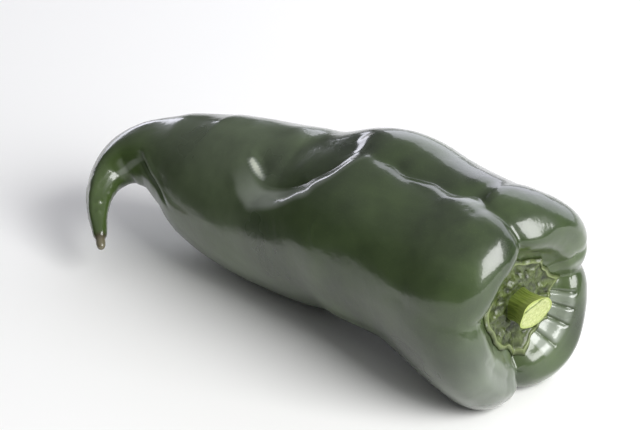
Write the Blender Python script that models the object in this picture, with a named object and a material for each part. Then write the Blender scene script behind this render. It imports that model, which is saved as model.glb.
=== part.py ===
"""Poblano pepper lying on its side: the pod, the calyx in its stem cavity and the short cut stem.

Metres, +Z up. The stem end points towards +X, the hooked tip lies at -X, and the origin is on the surface
that the pepper rests on, below the middle of its box. The pod is described along a curved centre line: a
station is the distance along it from the shoulder's crest, and an angle of 0 degrees faces +Y, 90 faces up.
"""
from math import pi, radians

import bmesh
import bpy
import numpy as np

NAME = "poblano_pepper"
PLACE = (0.0734, 0.0049, 0.0)          # where the crest's centre stands, so that the box is centred
GAP = 0.0004                           # clearance between two grown pieces

# Pod: centre line from the middle of the shoulder's crest to the hooked tip
CENTRE_LINE = [
    (0.0, 0.0, 0.0274), (-0.018, 0.0, 0.0273), (-0.038, 0.0003, 0.0291), (-0.058, 0.0003, 0.0288),
    (-0.078, 0.0, 0.0246), (-0.098, -0.001, 0.0225), (-0.114, -0.003, 0.0232), (-0.127, -0.0055, 0.0250),
    (-0.1362, -0.0090, 0.0251), (-0.1414, -0.0135, 0.0230), (-0.1426, -0.0185, 0.0202),
    (-0.1405, -0.0240, 0.0177), (-0.1365, -0.0288, 0.0148), (-0.1318, -0.0325, 0.0120),
    (-0.1280, -0.0354, 0.0098)]
# Pod: station and radius, from the cavity's floor up its wall, over the crest and down to the tip
PROFILE = [
    (0.0075, 0.0), (0.0075, 0.0065), (0.0066, 0.0108), (0.0042, 0.0138), (0.0011, 0.0162), (0.0, 0.0190),
    (0.0008, 0.0226), (0.0034, 0.0258), (0.0085, 0.0279), (0.015, 0.0284), (0.025, 0.0272), (0.038, 0.0258),
    (0.055, 0.0260), (0.072, 0.0243), (0.090, 0.0230), (0.105, 0.0214), (0.118, 0.0184), (0.128, 0.0143),
    (0.137, 0.0100), (0.145, 0.0077), (0.153, 0.0060), (0.161, 0.0047), (0.169, 0.0034), (0.1755, 0.0022),
    (0.1780, 0.0018), (0.1800, 0.0017), (0.1812, 0.0011), (0.1815, 0.0)]
CREST_KNOT = 5
POD_COLUMNS = 60
POD_ROWS = 64
CREASE = 0.0014                        # half width of the sharpest crease

# Furrows between the four lobes: angle, depth at the crest, reach along the pod, half width in degrees
FURROWS = [
    (107, 0.0022, 0.060, 10), (173, 0.0028, 0.016, 13), (260, 0.0048, 0.026, 10), (5, 0.0034, 0.034, 13)]
# Swellings and hollows of the wall: angle, half width in degrees, station, half length, height
SWELLINGS = [
    (222, 38, 0.003, 0.011, 0.0024), (246, 24, 0.010, 0.014, 0.0018), (306, 44, 0.006, 0.020, 0.0021),
    (142, 40, 0.004, 0.018, 0.0006), (44, 42, 0.001, 0.009, 0.0014), (76, 55, 0.049, 0.014, 0.0026),
    (85, 50, 0.068, 0.010, -0.0010), (272, 52, 0.092, 0.028, 0.0009)]
# The fold pressed into the front of the pod, and the kink where the hooked tip starts: station and angle
FOLD = [
    (0.068, 62), (0.062, 76), (0.059, 88), (0.0572, 100), (0.0568, 112), (0.0582, 125), (0.0608, 137),
    (0.0645, 146), (0.070, 151), (0.076, 153.5), (0.082, 152.5), (0.0865, 147)]
KINK = [
    (0.1345, 128), (0.1335, 143), (0.1305, 158), (0.1255, 172), (0.1205, 186), (0.1180, 202),
    (0.1175, 218)]
BODY_RADIUS = 0.0255                   # turns an angle on the pod's body into a distance
HOOK_RADIUS = 0.0150                   # the same where the hook starts
# Height and reach of what the fold and the kink do to the skin beside them
FOLD_VALLEY = (0.0032, 0.0085)         # sunk on the tip side of the fold's upper half
FOLD_SHOULDER = (0.0008, 0.0030)       # raised on the stem side of it
FOLD_PIT = (0.0034, 0.0080)            # sunk on the stem side of the fold's lower half
FOLD_ROLL = (0.0010, 0.0050)           # raised on the tip side of it
KINK_GROOVE = (0.0022, 0.0050)         # sunk on the hook's side
KINK_ROLL = (0.0006, 0.0035)           # raised on the pod's side

# Calyx: the angle and the reach of each corner
CALYX_CORNERS = [
    (6, 0.0140), (52, 0.0128), (103, 0.0128), (145, 0.0130), (186, 0.0138), (228, 0.0138), (272, 0.0148),
    (320, 0.0134)]
SCALLOP = 0.10                         # the edge draws in this much between corners, as a share of the reach
BLADE_THICK = 0.0009
COLLAR_THICK = 0.0016                  # the flat collar that the stem grows from
COLLAR_RADIUS = 0.0062
COLLAR_FALL = 0.0022                   # the collar slopes down to the blade over this distance
RIM_RISE = 0.0009                      # how far the rim stands up above the blade
RIM_AT = 0.93                          # where the rim is highest, as a share of the reach
RIM_HALF = 0.07
ROUNDS_FROM = 0.86                     # the edge is rounded off past this share of the reach
RIB_RISE = 0.0008                      # how far a rib that runs to a corner stands up
RIB_HALF = 0.16                        # its half width, as a share of the way to the next corner
CALYX_COLUMNS = 64
CALYX_ROWS = 22

# Stem: a short fluted stub, cut off at a slant
STEM_FOOT = (-PROFILE[0][0] + GAP + COLLAR_THICK + GAP, -0.0002, 0.0270)
STEM_CUT = (0.0012, -0.0010, 0.0264)
STEM_CUT_FACES = (0.98, -0.12, -0.16)  # the way the cut face looks
STEM_NECK = 0.0044
STEM_CUT_RADIUS = (0.0052, 0.0050)     # the cut face is nearly round
STEM_FLUTES = 5
STEM_FLUTE_DEPTH = 0.0003
STEM_FACE_ROWS = 0.22                  # share of the rows on each end face
STEM_COLUMNS = 30
STEM_ROWS = 18

# Colour (linear), roughness
POD_SKIN = ((0.018, 0.036, 0.011), 0.22)
CALYX_GREEN = ((0.105, 0.165, 0.055), 0.45)
STEM_GREEN = ((0.36, 0.43, 0.14), 0.55)


# Curves and blends

def curve_through(knots, per_span=24):
    """Points of a centripetal Catmull-Rom curve through the knots."""
    p = np.array(knots, float)
    p = np.vstack([2 * p[0] - p[1], p, 2 * p[-1] - p[-2]])
    spans = []
    for p0, p1, p2, p3 in zip(p[:-3], p[1:-2], p[2:-1], p[3:]):
        t1 = np.linalg.norm(p1 - p0) ** 0.5
        t2 = t1 + np.linalg.norm(p2 - p1) ** 0.5
        t3 = t2 + np.linalg.norm(p3 - p2) ** 0.5
        t = np.linspace(t1, t2, per_span, endpoint=False)[:, None]
        a1 = ((t1 - t) * p0 + t * p1) / t1
        a2 = ((t2 - t) * p1 + (t - t1) * p2) / (t2 - t1)
        a3 = ((t3 - t) * p2 + (t - t2) * p3) / (t3 - t2)
        b1 = ((t2 - t) * a1 + t * a2) / t2
        b2 = ((t3 - t) * a2 + (t - t1) * a3) / (t3 - t1)
        spans.append(((t2 - t) * b1 + (t - t1) * b2) / (t2 - t1))
    return np.vstack(spans + [p[-2][None]])


def distance_along(curve):
    """Distance of each point of a curve from its start."""
    return np.concatenate([[0.0], np.cumsum(np.linalg.norm(np.diff(curve, axis=0), axis=1))])


def read_off(wanted, at, rows):
    """Rows of a table read at the wanted places."""
    return np.stack([np.interp(wanted, at, rows[:, k]) for k in range(rows.shape[1])], -1)


def blend(low, high, x):
    """0 below low, 1 above high, smooth between."""
    t = np.clip((x - low) / (high - low), 0, 1)
    return t * t * (3 - 2 * t)


def fades(distance, reach):
    """1 at no distance, dying away over the reach."""
    return np.exp(-np.maximum(distance, 0) / reach)


# Pod

def centre_frames():
    """Station, point, tangent, sideways and upward direction at even steps of the centre line."""
    line = curve_through(CENTRE_LINE)
    far = distance_along(line)
    station = np.linspace(0, far[-1], 400)
    point = read_off(station, far, line)
    tangent = np.gradient(point, axis=0)
    tangent /= np.linalg.norm(tangent, axis=1)[:, None]
    side = np.zeros_like(point)
    carried = np.array([0.0, 1.0, 0.0])
    for k, forward in enumerate(tangent):
        carried = carried - forward * (carried @ forward)
        carried /= np.linalg.norm(carried)
        side[k] = carried
    return station, point, tangent, side, np.cross(side, tangent)


FRAMES = centre_frames()
OUTLINE = curve_through(PROFILE)
OUTLINE_LENGTH = distance_along(OUTLINE)
CREST_LENGTH = OUTLINE_LENGTH[CREST_KNOT * 24]


def from_path(path, radius, station, angle):
    """Distance from a path on the skin, positive on its tip side, and the share of the path reached there."""
    knots = curve_through([(s, radians(a) * radius) for s, a in path], 8)
    share = distance_along(knots) / distance_along(knots)[-1]
    p = np.stack([station, np.radians(angle) * radius], -1)
    distance = np.full(len(p), 1.0)
    reached = np.zeros(len(p))
    for q0, q1, s0, s1 in zip(knots[:-1], knots[1:], share[:-1], share[1:]):
        d = q1 - q0
        t = np.clip(((p - q0) @ d) / (d @ d), 0, 1)
        off = p - q0 - t[:, None] * d
        far = np.hypot(off[:, 0], off[:, 1])
        nearer = far < np.abs(distance)
        distance = np.where(nearer, np.where(off[:, 0] * d[1] > off[:, 1] * d[0], far, -far), distance)
        reached = np.where(nearer, s0 + t * (s1 - s0), reached)
    return distance, reached


def off_centre(angle, centre):
    """Degrees from a centre, between -180 and 180."""
    return (angle - centre + 180) % 360 - 180


def stepped(path, radius, station, angle):
    """Distance from a path on the skin, how far past it a point is (0 to 1), and the share reached."""
    far, share = from_path(path, radius, station, angle)
    return far, 1 / (1 + np.exp(-np.clip(far / (0.45 * CREASE), -40, 40))), share


def relief(station, past_crest, angle):
    """Height of the skin over the turned profile: furrows, swellings, the fold and the kink."""
    height = np.zeros_like(station)
    outer = blend(0.0, 0.004, past_crest)
    above_fold = 1 - blend(0.046, 0.060, station)
    up_the_wall = blend(-0.015, -0.001, past_crest)
    soft = CREASE / 0.004
    for centre, depth, reach, width in FURROWS:
        x = off_centre(angle, centre) / width
        valley = np.exp(soft - np.sqrt(x * x + soft * soft))
        height -= depth * valley * fades(past_crest, reach) * above_fold * up_the_wall
    for centre, half, place, length, rise in SWELLINGS:
        x = np.clip(off_centre(angle, centre) / half, -1, 1)
        height += rise * np.cos(x * pi / 2) ** 2 * np.exp(-((station - place) / length) ** 2) * outer

    far, past, share = stepped(FOLD, BODY_RADIUS, station, angle)
    upper = blend(0.0, 0.22, share) * (1 - blend(0.50, 0.80, share)) * outer
    lower = blend(0.42, 0.72, share) * (1 - blend(0.86, 1.0, share)) * outer
    height -= FOLD_VALLEY[0] * upper * past * fades(far, FOLD_VALLEY[1])
    height += FOLD_SHOULDER[0] * upper * (1 - past) * fades(-far, FOLD_SHOULDER[1])
    height -= FOLD_PIT[0] * lower * (1 - past) * fades(-far, FOLD_PIT[1])
    height += FOLD_ROLL[0] * lower * past * fades(far, FOLD_ROLL[1])

    far, past, share = stepped(KINK, HOOK_RADIUS, station, angle)
    middle = blend(0.0, 0.3, share) * (1 - blend(0.75, 1.0, share)) * outer
    height -= KINK_GROOVE[0] * middle * past * fades(far, KINK_GROOVE[1])
    height += KINK_ROLL[0] * middle * (1 - past) * fades(-far, KINK_ROLL[1])
    return height


def skin(length, angle, lift=0.0):
    """Points on the pod's skin or lifted off it, by distance along the profile and angle in radians."""
    station, radius = read_off(length, OUTLINE_LENGTH, OUTLINE).T
    slope = np.gradient(OUTLINE, OUTLINE_LENGTH, axis=0)
    d_station, d_radius = read_off(length, OUTLINE_LENGTH, slope).T
    steep = np.hypot(d_station, d_radius)
    height = relief(station, length - CREST_LENGTH, np.degrees(angle)) * blend(0.0, 0.004, radius) + lift
    station = station - height * d_radius / steep
    radius = radius + height * d_station / steep
    at, point, tangent, side, up = FRAMES
    centre = read_off(station, at, point) + read_off(station, at, tangent) * np.minimum(station, 0)[:, None]
    sideways = (radius * np.cos(angle))[:, None] * read_off(station, at, side)
    upwards = (radius * np.sin(angle))[:, None] * read_off(station, at, up)
    return centre + sideways + upwards


def pod_place(row, angle):
    """Rows run from the cavity's floor to the tip, closer together at the crest, the fold and the tip."""
    station = OUTLINE[:, 0]
    outside = OUTLINE_LENGTH > CREST_LENGTH
    closeness = 1 + 1.1 * np.exp(-((OUTLINE_LENGTH - CREST_LENGTH) / 0.012) ** 2)
    closeness += outside * 0.8 * np.exp(-((station - 0.062) / 0.014) ** 2)
    closeness += 1.0 * blend(0.165, 0.180, station)
    steps = 0.5 * (closeness[1:] + closeness[:-1]) * np.diff(OUTLINE_LENGTH)
    spread = np.concatenate([[0.0], np.cumsum(steps)])
    return skin(np.interp(row * spread[-1], spread, OUTLINE_LENGTH), angle)


# Calyx

def calyx_place(row, angle):
    """The first half of the rows is the upper face, from the middle to the rim, the rest the under face."""
    corners = np.radians([a for a, _ in CALYX_CORNERS])
    reaches = np.array([r for _, r in CALYX_CORNERS])
    after = np.searchsorted(corners, angle) % len(corners)
    side = (corners[after] - corners[after - 1]) % (2 * pi)
    into = ((angle - corners[after - 1]) % (2 * pi)) / side
    reach = reaches[after - 1] * (1 - into) + reaches[after] * into
    reach = reach * (1 - SCALLOP * np.sin(pi * into) ** 0.8)
    out = np.where(row < 0.5, 2 * row, 2 - 2 * row)
    radius = out * reach
    past_collar = blend(COLLAR_RADIUS, COLLAR_RADIUS + COLLAR_FALL, radius)
    rib = np.exp(-(np.minimum(into, 1 - into) / RIB_HALF) ** 2) * (1 - blend(0.70, 0.98, out)) * past_collar
    thick = COLLAR_THICK + (BLADE_THICK - COLLAR_THICK) * past_collar
    thick = thick + RIB_RISE * rib + RIM_RISE * np.exp(-((out - RIM_AT) / RIM_HALF) ** 2)
    thick = thick * np.sqrt(1 - np.clip((out - ROUNDS_FROM) / (1 - ROUNDS_FROM), 0, 1) ** 2)
    in_cavity = OUTLINE_LENGTH <= CREST_LENGTH
    length = np.interp(radius, OUTLINE[in_cavity, 1], OUTLINE_LENGTH[in_cavity])
    return skin(length, angle, np.where(row <= 0.5, GAP + thick, GAP))


# Stem

def stem_place(row, angle):
    """Rows run from the middle of the foot, up the fluted side and in over the cut face."""
    foot, cut = np.array(STEM_FOOT), np.array(STEM_CUT)
    cut_faces = np.array(STEM_CUT_FACES) / np.linalg.norm(STEM_CUT_FACES)
    grown = (cut - foot) / np.linalg.norm(cut - foot)
    across = np.cross(grown, (0.0, 0.0, 1.0))
    across /= np.linalg.norm(across)
    over = np.cross(across, grown)
    up = blend(STEM_FACE_ROWS, 1 - STEM_FACE_ROWS, row)
    share = np.minimum(np.minimum(row, 1 - row) / STEM_FACE_ROWS, 1)
    neck = STEM_NECK * (1 + 0.14 * (1 - up) ** 4)
    wide = neck + (STEM_CUT_RADIUS[0] - STEM_NECK) * up ** 2.2
    high = neck + (STEM_CUT_RADIUS[1] - STEM_NECK) * up ** 2.2
    groove = STEM_FLUTE_DEPTH / STEM_NECK * (1 + np.cos(STEM_FLUTES * angle)) * (0.4 + 0.6 * up)
    fluted = share * (1 - groove)
    spoke = (np.cos(angle) * wide * fluted)[:, None] * across
    spoke = spoke + (np.sin(angle) * high * fluted)[:, None] * over
    level = (1 - up)[:, None] * np.array([1.0, 0.0, 0.0]) + up[:, None] * cut_faces
    slant = -(spoke * level).sum(1) / (level @ grown)
    return foot + up[:, None] * (cut - foot) + spoke + slant[:, None] * grown


# Building

def moulded(name, columns, rows, place, finish):
    """A ball whose vertices are moved to place(row, angle), row 0 at its upper pole and 1 at its lower."""
    form = bmesh.new()
    bmesh.ops.create_uvsphere(form, u_segments=columns, v_segments=rows, radius=1.0)
    ball = np.array([vertex.co for vertex in form.verts])
    row = np.arccos(np.clip(ball[:, 2], -1, 1)) / pi
    angle = np.arctan2(ball[:, 1], ball[:, 0]) % (2 * pi)
    for vertex, point in zip(form.verts, place(row, angle)):
        vertex.co = point
    form.normal_update()
    bmesh.ops.recalc_face_normals(form, faces=form.faces)
    mesh = bpy.data.meshes.new(name)
    form.to_mesh(mesh)
    form.free()
    mesh.shade_smooth()
    colour, roughness = finish
    material = bpy.data.materials.new(name)
    material.use_nodes = True
    shader = material.node_tree.nodes["Principled BSDF"]
    shader.inputs["Base Color"].default_value = (*colour, 1.0)
    shader.inputs["Roughness"].default_value = roughness
    shader.inputs["Metallic"].default_value = 0.0
    mesh.materials.append(material)
    piece = bpy.data.objects.new(name, mesh)
    pieces.objects.link(piece)
    piece.parent = rest
    return piece


def flatten_feet(piece):
    """Cut the lowest bulges off at the resting plane and close them with flat faces."""
    form = bmesh.new()
    form.from_mesh(piece.data)
    everything = form.verts[:] + form.edges[:] + form.faces[:]
    cut = bmesh.ops.bisect_plane(form, geom=everything, dist=0.0, plane_co=(0, 0, 0), plane_no=(0, 0, -1),
                                 clear_outer=True)
    edges = [item for item in cut["geom_cut"] if isinstance(item, bmesh.types.BMEdge)]
    bmesh.ops.holes_fill(form, edges=edges, sides=0)
    form.to_mesh(piece.data)
    form.free()
    piece.data.shade_smooth()
    piece.data.set_sharp_from_angle(angle=radians(50))


for old in list(bpy.data.objects):
    bpy.data.objects.remove(old, do_unlink=True)
pieces = bpy.data.collections.new(NAME)
bpy.context.scene.collection.children.link(pieces)
rest = bpy.data.objects.new("resting_place", None)
rest.location = PLACE
pieces.objects.link(rest)

pod = moulded("pod", POD_COLUMNS, POD_ROWS, pod_place, POD_SKIN)
flatten_feet(pod)
moulded("calyx", CALYX_COLUMNS, CALYX_ROWS, calyx_place, CALYX_GREEN)
moulded("stem", STEM_COLUMNS, STEM_ROWS, stem_place, STEM_GREEN)
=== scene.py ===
"""Looks of a poblano pepper lying on its side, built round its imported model."""
from math import pi, radians

import bmesh
import bpy
import numpy as np
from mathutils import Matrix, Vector, noise


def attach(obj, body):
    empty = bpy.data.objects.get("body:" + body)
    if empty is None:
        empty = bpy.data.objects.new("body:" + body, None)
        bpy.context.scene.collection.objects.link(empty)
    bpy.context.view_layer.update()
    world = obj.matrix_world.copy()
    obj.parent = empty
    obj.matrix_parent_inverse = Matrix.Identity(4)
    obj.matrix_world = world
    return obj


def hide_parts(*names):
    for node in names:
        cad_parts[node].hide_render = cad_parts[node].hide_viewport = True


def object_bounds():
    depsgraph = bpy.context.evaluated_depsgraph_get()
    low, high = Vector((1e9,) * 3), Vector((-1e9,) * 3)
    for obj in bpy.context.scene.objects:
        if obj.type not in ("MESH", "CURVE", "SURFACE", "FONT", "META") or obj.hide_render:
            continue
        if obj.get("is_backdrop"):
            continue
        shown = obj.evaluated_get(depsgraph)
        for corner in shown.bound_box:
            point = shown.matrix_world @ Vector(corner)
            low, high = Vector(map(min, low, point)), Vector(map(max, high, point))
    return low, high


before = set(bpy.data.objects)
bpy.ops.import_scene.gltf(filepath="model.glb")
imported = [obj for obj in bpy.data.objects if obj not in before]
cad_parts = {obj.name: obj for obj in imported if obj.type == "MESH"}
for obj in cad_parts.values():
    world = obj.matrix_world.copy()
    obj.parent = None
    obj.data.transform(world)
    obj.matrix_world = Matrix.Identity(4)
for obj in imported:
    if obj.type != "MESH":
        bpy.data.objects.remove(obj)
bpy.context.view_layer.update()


# Pod
# The fruit itself: one grown body of crisp flesh under a thin, waxed skin. Four lobes meet in furrows at the
# shoulder, the front is folded in once, and the far end is bent into a hook that dries out at its very tip.
# where the middle of the crest stands on the table, in the part's own frame
PLACE = np.array((0.0734, 0.0049, 0.0))
POD_COLUMNS = 330
POD_ROWS = 300
MERGE = 1e-7
# a place on the skin is its station, the distance along the centre line from the shoulder's crest, and its
# angle in degrees: 0 at the back, 90 on top, 180 in front and 270 below
# points of the centre line, from the middle of the crest to the tip
POD_CENTRE_LINE = [
    (0.0, 0.0, 0.0274), (-0.018, 0.0, 0.0273), (-0.038, 0.0003, 0.0291), (-0.058, 0.0003, 0.0288),
    (-0.078, 0.0, 0.0246), (-0.098, -0.001, 0.0225), (-0.114, -0.003, 0.0232), (-0.127, -0.0055, 0.0250),
    (-0.1362, -0.0090, 0.0251), (-0.1414, -0.0135, 0.0230), (-0.1426, -0.0185, 0.0202),
    (-0.1405, -0.0240, 0.0177), (-0.1365, -0.0288, 0.0148), (-0.1318, -0.0325, 0.0120),
    (-0.1280, -0.0354, 0.0098)]
# station and radius, from the cavity's floor up its wall, over the crest and down to the tip
POD_PROFILE = [
    (0.0075, 0.0), (0.0075, 0.0065), (0.0066, 0.0108), (0.0042, 0.0138), (0.0011, 0.0162), (0.0, 0.0190),
    (0.0008, 0.0226), (0.0034, 0.0258), (0.0085, 0.0279), (0.015, 0.0284), (0.025, 0.0272), (0.038, 0.0258),
    (0.055, 0.0260), (0.072, 0.0243), (0.090, 0.0230), (0.105, 0.0214), (0.118, 0.0184), (0.128, 0.0143),
    (0.137, 0.0100), (0.145, 0.0075), (0.153, 0.0052), (0.161, 0.0037), (0.168, 0.0026), (0.1733, 0.0019),
    (0.1746, 0.0014), (0.1762, 0.0013), (0.1773, 0.0011), (0.1779, 0.0007), (0.1781, 0.0)]
CREST_KNOT = 5
PER_SPAN = 24
FRAME_STEPS = 400
# the outer wall's shapes begin over this distance past the crest, and all relief over this one from a pole
CREST_EASE = 0.004
POLE_EASE = 0.004


def curve_through(knots, per_span=PER_SPAN):
    """Points of a centripetal Catmull-Rom curve through the knots."""
    p = np.array(knots, float)
    p = np.vstack([2 * p[0] - p[1], p, 2 * p[-1] - p[-2]])
    spans = []
    for p0, p1, p2, p3 in zip(p[:-3], p[1:-2], p[2:-1], p[3:]):
        t1 = np.linalg.norm(p1 - p0) ** 0.5
        t2 = t1 + np.linalg.norm(p2 - p1) ** 0.5
        t3 = t2 + np.linalg.norm(p3 - p2) ** 0.5
        t = np.linspace(t1, t2, per_span, endpoint=False)[:, None]
        a1 = ((t1 - t) * p0 + t * p1) / t1
        a2 = ((t2 - t) * p1 + (t - t1) * p2) / (t2 - t1)
        a3 = ((t3 - t) * p2 + (t - t2) * p3) / (t3 - t2)
        b1 = ((t2 - t) * a1 + t * a2) / t2
        b2 = ((t3 - t) * a2 + (t - t1) * a3) / (t3 - t1)
        spans.append(((t2 - t) * b1 + (t - t1) * b2) / (t2 - t1))
    return np.vstack(spans + [p[-2][None]])


def distance_along(curve):
    """Distance of each point of a curve from its start."""
    return np.concatenate([[0.0], np.cumsum(np.linalg.norm(np.diff(curve, axis=0), axis=1))])


def read_off(wanted, at, rows):
    """Rows of a table read at the wanted places."""
    return np.stack([np.interp(wanted, at, rows[:, k]) for k in range(rows.shape[1])], -1)


def blend(low, high, x):
    """0 below low, 1 above high, smooth between."""
    t = np.clip((x - low) / (high - low), 0, 1)
    return t * t * (3 - 2 * t)


def between(low, high, soft, x):
    """1 from low to high, falling to 0 over a soft distance outside."""
    return blend(low - soft, low, x) * (1 - blend(high, high + soft, x))


def hump(off, half):
    """1 at no distance, about a third at the half width, and nothing a few half widths away."""
    return np.exp(-(off / half) ** 2)


def fades(distance, reach):
    """1 at no distance, dying away over the reach."""
    return np.exp(-np.maximum(distance, 0) / reach)


def off_centre(angle, centre):
    """Degrees from a centre, between -180 and 180."""
    return (angle - centre + 180) % 360 - 180


def lumps(points, size):
    """Grown unevenness: smooth noise from -1 to 1 whose lumps are about a size across, in metres."""
    smoothness, finer, octaves = 1.0, 2.0, 2
    return np.array([noise.fractal(Vector(p), smoothness, finer, octaves) for p in points / size])


def centre_frames():
    """Station, point, tangent, sideways and upward direction at even steps of the centre line."""
    line = curve_through(POD_CENTRE_LINE)
    far = distance_along(line)
    station = np.linspace(0, far[-1], FRAME_STEPS)
    point = read_off(station, far, line)
    tangent = np.gradient(point, axis=0)
    tangent /= np.linalg.norm(tangent, axis=1)[:, None]
    side = np.zeros_like(point)
    carried = np.array([0.0, 1.0, 0.0])
    for k, forward in enumerate(tangent):
        carried = carried - forward * (carried @ forward)
        carried /= np.linalg.norm(carried)
        side[k] = carried
    return station, point, tangent, side, np.cross(side, tangent)


FRAMES = centre_frames()
OUTLINE = curve_through(POD_PROFILE)
OUTLINE_LENGTH = distance_along(OUTLINE)
CREST_LENGTH = OUTLINE_LENGTH[CREST_KNOT * PER_SPAN]

# the furrow on top wanders: station, angle and share of the depth
TOP_FURROW = [
    (0.0, 99, 1.0), (0.0130, 98.5, 0.85), (0.0150, 97.8, 0.85), (0.0170, 95.2, 0.85),
    (0.0205, 93, 0.9), (0.0240, 92.6, 0.95), (0.0262, 94.5, 0.95), (0.0290, 96.8, 0.9),
    (0.0325, 97.2, 0.85), (0.0345, 97.2, 0.8), (0.0365, 99, 0.8), (0.0395, 101, 0.85),
    (0.0417, 103.2, 0.85), (0.0435, 103.6, 0.85), (0.0450, 102.4, 0.9), (0.0465, 101.2, 0.9),
    (0.060, 100, 0.9)]
# a reach so long that the furrow doesn't fade
ALL_ALONG = 9.0
# angle, depth at the crest, reach along the pod, half width in degrees, softness of the crease in metres
FURROWS = [
    (TOP_FURROW, 0.0032, ALL_ALONG, 9, 0.0006), (173, 0.0028, 0.016, 12, 0.0010),
    (264, 0.0050, 0.026, 8, 0.0003), (5, 0.0034, 0.034, 12, 0.0006), (24, 0.0014, 0.006, 5, 0.0004),
    (217, 0.0004, 0.005, 6, 0.0006), (240, 0.0004, 0.006, 6, 0.0006)]
# half width in metres that the softness is measured against
FURROW_HALF = 0.004
# furrows come in between these distances past the crest, and go out between these stations, at the fold
FURROWS_BEGIN = (-0.015, -0.001)
FURROWS_END = (0.046, 0.060)
# between two more stations they begin to stray from their lines, in waves: degrees, metres to a radian, phase
STRAYS = [(1.0, 0.0032, 0.8), (0.7, 0.0017, 0.0)]
STRAYS_BEGIN = (0.006, 0.018)


def furrows(station, past_crest, angle):
    """Depth of the furrows between the lobes and of the small ones on the shoulder."""
    wander = sum(most * np.sin(station / wave + phase) for most, wave, phase in STRAYS)
    strayed = angle + wander * blend(*STRAYS_BEGIN, station)
    depth_here = np.zeros_like(station)
    for centre, depth, reach, width, crease in FURROWS:
        if centre is TOP_FURROW:
            at, path, share = zip(*TOP_FURROW)
            centre, depth = np.interp(station, at, path), depth * np.interp(station, at, share)
        off = off_centre(strayed, centre) / width
        soft = crease / FURROW_HALF
        depth_here += depth * np.exp(soft - np.sqrt(off * off + soft * soft)) * fades(past_crest, reach)
    return depth_here * (1 - blend(*FURROWS_END, station)) * blend(*FURROWS_BEGIN, past_crest)


# angle, half width in degrees, station, half length, height
SWELLINGS = [
    (222, 38, 0.003, 0.011, 0.0024), (246, 24, 0.010, 0.014, 0.0018), (306, 44, 0.006, 0.020, 0.0021),
    (142, 40, 0.004, 0.018, 0.0006), (44, 42, 0.001, 0.009, 0.0014), (76, 55, 0.049, 0.014, 0.0026),
    (85, 50, 0.068, 0.010, -0.0010), (272, 52, 0.092, 0.028, 0.0009), (87, 24, 0.0022, 0.0050, -0.0007),
    (130, 34, 0.0030, 0.0050, -0.0005), (256, 9, 0.0040, 0.0080, 0.0008), (141, 26, 0.1636, 0.0011, 0.00050),
    (140, 28, 0.1668, 0.0011, 0.00045), (116, 22, 0.1585, 0.0010, 0.00035)]


def swellings(station, angle):
    """Height of the lobes, the bulge before the fold and the small bumps of the hook."""
    height = np.zeros_like(station)
    for centre, half, place, length, rise in SWELLINGS:
        off = np.clip(off_centre(angle, centre) / half, -1, 1)
        height += rise * np.cos(off * pi / 2) ** 2 * hump(station - place, length)
    return height


# a path's angles become distances by the radius of the body, or of the hook where it starts past this station
BODY_RADIUS = 0.0255
HOOK_RADIUS = 0.0170
HOOK_STARTS = 0.115
PATH_SPAN = 8
# stretches of a path count as about as near while their distances differ by less than this
NEARNESS = 0.0010


def from_path(path, station, angle):
    """Distance from a path on the skin, the same across it and positive on its tip side, and its values.

    Where two stretches are about as near, both count, so that nothing jumps half way between them."""
    radius = HOOK_RADIUS if path[0][0] > HOOK_STARTS else BODY_RADIUS
    line = curve_through([(s, radians(a) * radius, *values) for s, a, *values in path], PATH_SPAN)
    start = line[:-1, :2]
    step = np.diff(line[:, :2], axis=0)
    length = np.linalg.norm(step, axis=1)
    off = np.stack([station, np.radians(angle) * radius], -1)[:, None] - start
    t = (off * step).sum(-1) / length ** 2
    far = np.linalg.norm(off - np.clip(t, 0, 1)[..., None] * step, axis=-1)
    weight = np.exp((far.min(1, keepdims=True) - far) / NEARNESS)
    weight /= weight.sum(1, keepdims=True)
    across = (weight * (off[..., 0] * step[:, 1] - off[..., 1] * step[:, 0]) / length).sum(1)
    values = weight @ (line[:-1, 2:] + line[1:, 2:]) / 2
    return far.min(1), across, values.T


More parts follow.
